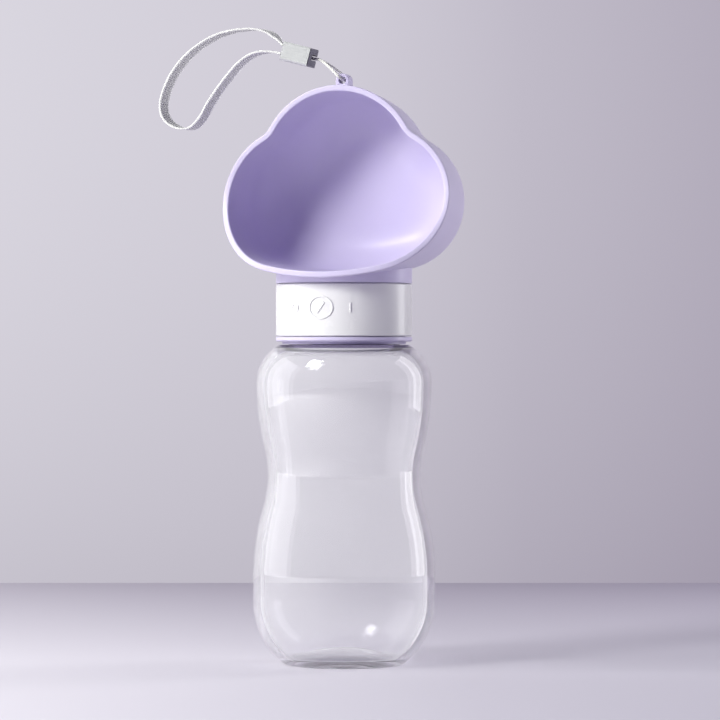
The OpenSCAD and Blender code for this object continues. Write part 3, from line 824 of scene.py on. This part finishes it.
def moulded(name, colour, deeper, roughness, ripple, coat=0.0):
    finish = Finish(name, {"Base Color": colour, "Roughness": roughness, "Coat Weight": coat,
                           "Coat Roughness": 0.12, "IOR": 1.46, "Specular IOR Level": 0.4})
    cloudy = finish.noise(CLOUDS, 3)
    finish.drive("Base Color", finish.blend(cloudy * CLOUD_SHARE, colour, deeper))
    glossiest = roughness - GLOSS_SPREAD / 2
    finish.drive("Roughness", glossiest + GLOSS_SPREAD * finish.noise(PATCHES, 3))
    finish.emboss(finish.noise(RIPPLES, 2), ripple)
    return finish


lavender = moulded("lavender_plastic", tint(204, 196, 226), tint(199, 190, 223), 0.36, 0.000006, 0.12)
white = moulded("white_plastic", tint(230, 229, 232), tint(225, 224, 228), 0.26, 0.000004, 0.4)
charcoal = moulded("charcoal_plastic", tint(98, 95, 108), tint(88, 85, 98), 0.5, FINE_BUMP)
silicone = moulded("silicone", tint(226, 226, 230), tint(218, 218, 224), 0.6, 0.000008)
clasp_shell = moulded("clasp_plastic", tint(212, 214, 213), tint(205, 207, 207), 0.42, 0.000008, 0.1)

wear(lavender, nodes["lid_base"], nodes["valve_cap"], cup, *skirt_threads)
wear(white, nodes["lock_collar"], nodes["valve_rotor"], *marks)
wear(silicone, nodes["neck_gasket"], nodes["seat_gasket"], nodes["port_seal"])
wear(charcoal, nodes["clasp_insert"])
wear(clasp_shell, nodes["clasp_sleeve"])

# %% [markdown]
# ## Clear plastic
# The bottle is a clear copolyester, smooth inside and out. A used bottle is never quite empty: a thin
# mist of water clings to its inner face and catches the light, most where the face turns away. So the
# shader is clear plastic, mixed on the inner face with a share of soft white that grows towards the
# edge. Round the foot and at the ledge under the lid, the clear plastic's colour turns dark violet. This
# is painted shade: it stands for the contact shadow and the dark look of the thick plastic round the
# foot, and for the shade that falls under the lid.
# The index of refraction is set well below the real one, so that what lies behind the bottle shows
# through it with little bending. Clear plastic also lets most light through to the floor, which the
# renderer only allows if shadow rays meet a see-through shader instead.

# %% Clear plastic
CLEAR, PAINTED_SHADE = tint(252, 252, 253), tint(92, 82, 116)
FOOT_R, FOOT_H, DRY_H = 22 * MM, 7 * MM, 14 * MM
UNDER_LEDGE, OVER_LEDGE = 1.3 * MM, 1.7 * MM
MIST, MIST_AT_EDGE = 0.16, 0.7
SHADOW_PASS = 0.78
CLEAR_INDEX = 1.12

clear = Finish("clear_plastic", {
    "Base Color": CLEAR, "Roughness": 0.0, "IOR": CLEAR_INDEX, "Transmission Weight": 1.0,
    "Coat Weight": 1.0, "Coat Roughness": 0.0})
across, along, height = (
    clear.node("ShaderNodeSeparateXYZ", output=axis, values={0: clear.place()}) for axis in "XYZ")
# Painted shade: the clear plastic's colour turns dark violet round the foot and at the ledge under the
# lid.
within_foot = across * across + along * along < FOOT_R**2
painted_foot_shade = (1 - height * (1 / FOOT_H)).at_least(0) * within_foot
above_ledge = height - LEDGE_Z * MM
painted_ledge_shade = (above_ledge > -UNDER_LEDGE) * (above_ledge < OVER_LEDGE)
clear.drive("Base Color", clear.blend(painted_foot_shade + painted_ledge_shade, CLEAR, PAINTED_SHADE))

# %% Mist and shadow
mist = clear.node("ShaderNodeBsdfPrincipled", output="BSDF", values={
    "Base Color": tint(248, 248, 250), "Roughness": 0.5, "Specular IOR Level": 0.2})
turned_away = clear.node("ShaderNodeLayerWeight", output="Facing", values={"Blend": 0.5})
inner_face = clear.node("ShaderNodeAttribute", {"attribute_name": "inside"}, output="Fac")
low_down = (1 - height * (1 / DRY_H)).at_least(0)
share = inner_face * (MIST + MIST_AT_EDGE * turned_away**5) * (1 - low_down)
misted = clear.mix(share, Wire(clear.tree, clear.shader.outputs["BSDF"]), mist)
for_shadow = clear.node("ShaderNodeLightPath", output="Is Shadow Ray") * SHADOW_PASS
see_through = clear.node("ShaderNodeBsdfTransparent", output="BSDF")
clear.show(clear.mix(for_shadow, misted, see_through))
wear(clear, bottle, *neck_threads)

# %% [markdown]
# ## Steel
# Only the screw that clamps the valve is metal. It is seen when the lid is off, and its head has a
# fine grain, which noise gives to its gloss and, as a bump, to its skin.

# %% Steel
GLOSS_GRAIN, SKIN_GRAIN = 2500, 3000
steel = Finish("screw_steel", {"Base Color": tint(190, 190, 194), "Metallic": 1.0, "Roughness": 0.3})
steel.drive("Roughness", 0.24 + 0.12 * steel.noise(GLOSS_GRAIN, 2))
steel.emboss(steel.noise(SKIN_GRAIN, 2), FINE_BUMP)
wear(steel, nodes["centre_screw"])

# %% [markdown]
# ## Cord and webbing
# The string's yarn is far too fine to model, so its fibres are a bump that runs with the twist. The
# strap is a plain weave: rows cross it every 0.9 mm, fine ribs run along it, and the yarn turns back on
# itself in a selvedge at each side. Each side is painted pale. This is partly the selvedge and partly a
# painted highlight for the light that the strap's edge catches. Both patterns read the UV map, which
# holds metres along the cord and a share of the way round it. The section has nine points from one edge
# to the next, so nine times that share, counted from the middle of a face, finds the pale edge.


# %% Cord and webbing
def around(finish):
    """How far along and how far round, from the piece's own UV map."""
    uv = finish.node("ShaderNodeUVMap", {"uv_map": "UVMap"})
    parts = finish.tree.nodes.new("ShaderNodeSeparateXYZ")
    feed(finish.tree, parts.inputs[0], uv)
    return Wire(finish.tree, parts.outputs[0]), Wire(finish.tree, parts.outputs[1])


FIBRE_PITCH, FIBRES = 0.5 * MM, 6
yarn = Finish("string_yarn", {"Roughness": 0.75, "Specular IOR Level": 0.2})
far, round_it = around(yarn)
fibre = (far * (2 * math.pi / FIBRE_PITCH) + round_it * (2 * math.pi * FIBRES)).sine()
yarn.drive("Base Color", yarn.blend(0.5 + 0.5 * fibre, tint(206, 205, 202), tint(234, 233, 230)))
yarn.emboss(fibre, FINE_BUMP)
wear(yarn, string)

# %% The strap's weave
ROW = 0.9 * MM
RIBS = 20
ROW_SHARE, RIB_SHARE = 0.3, 0.08
FACE_POINTS, MIDDLE_POINT = 9, 5
SELVEDGE_AND_LIT_EDGE = 2.45
webbing = Finish("strap_weave", {"Roughness": 0.8, "Specular IOR Level": 0.2})
far, round_it = around(webbing)
row = (far * (2 * math.pi / ROW)).sine()
rib = (round_it * (2 * math.pi * RIBS)).sine()
weave = 0.5 + ROW_SHARE * row + RIB_SHARE * rib
across_face = (round_it * 2).fraction() * FACE_POINTS - MIDDLE_POINT
# Painted highlight: the strap's edges are pale, partly for the selvedge and partly for the light that an
# edge catches.
selvedge_and_lit_edge = across_face.size() > SELVEDGE_AND_LIT_EDGE
face_colour = webbing.blend(weave, tint(176, 175, 178), tint(216, 216, 216))
webbing.drive("Base Color", webbing.blend(selvedge_and_lit_edge, face_colour, tint(240, 240, 238)))
webbing.emboss(weave, FINE_BUMP)
wear(webbing, strap)

# %% [markdown]
# ## Floor and wall
# The bottle stands on a pale floor in front of a pale wall. Both carry painted light and shade: they
# fade from light on the left to darker on the right, and the floor also darkens as it recedes. Their
# colours do this in place of lamps, so that the lamps are free to suit the bottle. The wall also has
# painted shade along its foot. The wall glows, a little less for the light that it throws back than for
# the eye, and it is seen only from its front, so that a camera behind it still sees the bottle.

# %% Floor and wall
WALL_BEHIND, WALL_HEIGHT = 0.521, 1.6
STAGE_HALF = 1.8
STAGE_FRONT = 3.0


def stage_sheet(name, corners):
    bm = bmesh.new()
    bm.faces.new([bm.verts.new(c) for c in corners])
    mesh = bpy.data.meshes.new(name)
    bm.to_mesh(mesh)
    bm.free()
    sheet = bpy.data.objects.new(name, mesh)
    bpy.context.scene.collection.objects.link(sheet)
    paint = Finish(name, {"Roughness": 0.8, "Specular IOR Level": 0.2})
    wear(paint, sheet)
    return sheet, paint


def distance_along(paint, direction):
    """How many metres each point lies along a direction, from the piece's own coordinates."""
    return paint.node("ShaderNodeVectorMath", {"operation": "DOT_PRODUCT"}, output="Value",
                      values={0: paint.place(), 1: tuple(direction)})


def fade(paint, place, stops):
    """Colours at places in metres, blended smoothly between them."""
    low, high = stops[0][0], stops[-1][0]
    ramp = paint.tree.nodes.new("ShaderNodeValToRGB")
    ramp.color_ramp.interpolation = "B_SPLINE"
    while len(ramp.color_ramp.elements) < len(stops):
        ramp.color_ramp.elements.new(0.5)
    for element, (at, colour) in zip(ramp.color_ramp.elements, stops):
        element.position = (at - low) / (high - low)
        element.color = colour
    feed(paint.tree, ramp.inputs[0], (place - low) * (1 / (high - low)))
    return Wire(paint.tree, ramp.outputs[0])


left_back = away * WALL_BEHIND - right * STAGE_HALF
right_back = away * WALL_BEHIND + right * STAGE_HALF
left_front = -away * STAGE_FRONT - right * STAGE_HALF
right_front = -away * STAGE_FRONT + right * STAGE_HALF
left_top, right_top = left_back + up * WALL_HEIGHT, right_back + up * WALL_HEIGHT
floor, floor_paint = stage_sheet("floor", [left_front, right_front, right_back, left_back])
wall, wall_paint = stage_sheet("wall", [left_back, right_back, right_top, left_top])
print("stage", floor.name, wall.name)

# %% Colours of the floor
FLOOR_SHADE, FLOOR_RECEDES = 0.05, 0.62
# Painted light: the floor's colour fades from light on the left to darker on the right.
floor_painted_light = fade(floor_paint, distance_along(floor_paint, right), [
    (-0.6, tint(244, 241, 249)), (-0.25, tint(238, 234, 244)), (-0.1, tint(222, 218, 229)),
    (0.05, tint(206, 202, 215)), (0.4, tint(178, 173, 190))])
# Painted shade: the floor darkens towards violet as it recedes behind the bottle.
painted_distance_shade = distance_along(floor_paint, away).at_least(0) * FLOOR_RECEDES
floor_shade = floor_paint.blend(FLOOR_SHADE + painted_distance_shade, floor_painted_light, tint(62, 0, 92))
floor_paint.drive("Base Color", floor_shade)

# %% Glow of the wall
FOOT_SHADE, FOOT_SHADE_HEIGHT = 0.2, 0.32
DIMMED = 0.4
# Painted light: the wall's glow fades from light on the left to darker on the right.
wall_painted_light = fade(wall_paint, distance_along(wall_paint, right), [
    (-0.9, tint(236, 234, 241)), (-0.3, tint(222, 219, 228)), (0.0, tint(207, 203, 214)),
    (0.1, tint(194, 189, 202)), (0.3, tint(168, 160, 177)), (0.9, tint(150, 143, 160))])
# Painted shade: the wall's glow darkens towards violet along its foot, where it meets the floor.
rise = distance_along(wall_paint, up) * (1 / FOOT_SHADE_HEIGHT)
foot_shade = (1 - rise).at_least(0) * (1 - rise) * FOOT_SHADE
glow = wall_paint.node("ShaderNodeEmission", output="Emission", values={
    "Color": wall_paint.blend(foot_shade, wall_painted_light, tint(60, 30, 80))})
unlit = wall_paint.node("ShaderNodeEmission", output="Emission", values={"Strength": 0.0})
gone = wall_paint.node("ShaderNodeBsdfTransparent", output="BSDF")
thrown_back = wall_paint.node("ShaderNodeLightPath", output="Is Diffuse Ray") * DIMMED
from_behind = wall_paint.node("ShaderNodeNewGeometry", output="Backfacing")
wall_paint.show(wall_paint.mix(from_behind, wall_paint.mix(thrown_back, glow, unlit), gone))

# %% [markdown]
# ## Lamps
# Large soft lamps light the bottle from the left. The key stands in front, at such an angle that the
# left of the bowl stays in shade while its right is lit. Others lift the collar, the cup's outer side
# and the floor, and one from high at the side draws the long shadow. Clear plastic needs things to
# mirror instead: a window on the shoulder and a pale card on each side. These show only in gloss and
# add no light of their own, and the lamps that give light show in no reflection.


# %% Lamps
WARM, PLAIN = (0.98, 1.0, 0.92), (1, 1, 1)
LAMPS_AIM = Vector((0, 0, 0.14))


def lamp(name, toward, distance, size, power, mirrored):
    """An area lamp seen from the bottle at (degrees to the camera's right, degrees up).
    A mirrored one only shows in gloss, and any other one only lights."""
    a, e = (math.radians(d) for d in toward)
    direction = (right * math.sin(a) - away * math.cos(a)) * math.cos(e) + up * math.sin(e)
    data = bpy.data.lights.new(name, "AREA")
    data.shape = "RECTANGLE"
    data.size, data.size_y = size
    data.energy = power
    data.color = PLAIN if mirrored else WARM
    light = bpy.data.objects.new(name, data)
    light.location = LAMPS_AIM + direction * distance
    light.rotation_euler = direction.to_track_quat("Z", "Y").to_euler()
    light.visible_camera = False
    light.visible_diffuse = not mirrored
    light.visible_glossy = mirrored
    light.visible_transmission = mirrored
    bpy.context.scene.collection.objects.link(light)
    return light


lamp("key", (-48, 26), 1.5, (0.4, 0.4), 18, mirrored=False)
lamp("high", (-58, 36), 1.5, (0.5, 0.5), 4, mirrored=False)
lamp("low_left", (-70, 10), 1.5, (0.6, 0.6), 6, mirrored=False)
lamp("sun_side", (-86, 48), 1.5, (0.25, 0.25), 5, mirrored=False)
lamp("ceiling", (-20, 78), 1.5, (0.8, 0.8), 1, mirrored=False)
floor_bounce = lamp("floor_bounce", (-15, -20), 0.4, (0.9, 0.24), 0.2, mirrored=False)
floor_bounce.rotation_euler = (math.pi, 0, VIEW_TURN)
lamp("right_side", (104, 15), 1.2, (0.4, 0.7), 3, mirrored=False)
lamp("edge", (116, 15), 0.8, (0.25, 0.6), 3, mirrored=False)
lamp("window", (-53, 47), 1.5, (0.36, 0.5), 11, mirrored=True)
lamp("left_card", (-100, 5), 1.0, (0.9, 1.4), 5, mirrored=True)
lamp("right_card", (112, 8), 0.9, (0.3, 1.2), 2.4, mirrored=True)

# %% [markdown]
# ## Surroundings
# What lies around the stage has two jobs. As light it is a dim violet, which deepens the shade inside
# the bowl. As a view, straight or in gloss or through the bottle, it is as pale as the wall.

# %% World
DIM_VIOLET, PALE = (0.02, 0.008, 0.09, 1), tint(186, 182, 194)
world = bpy.data.worlds.new("world")
world.use_nodes = True
room = world.node_tree
rays = room.nodes.new("ShaderNodeLightPath")
viewed = [Wire(room, rays.outputs[f"Is {kind} Ray"]) for kind in ("Camera", "Glossy", "Transmission")]
around_stage = room.nodes.new("ShaderNodeMix")
around_stage.data_type = "RGBA"
feed(room, around_stage.inputs[0], viewed[0] + viewed[1] + viewed[2])
feed(room, around_stage.inputs[6], DIM_VIOLET)
feed(room, around_stage.inputs[7], PALE)
feed(room, room.nodes["Background"].inputs["Color"], Wire(room, around_stage.outputs[2]))
bpy.context.scene.world = world
print("world", world.name)
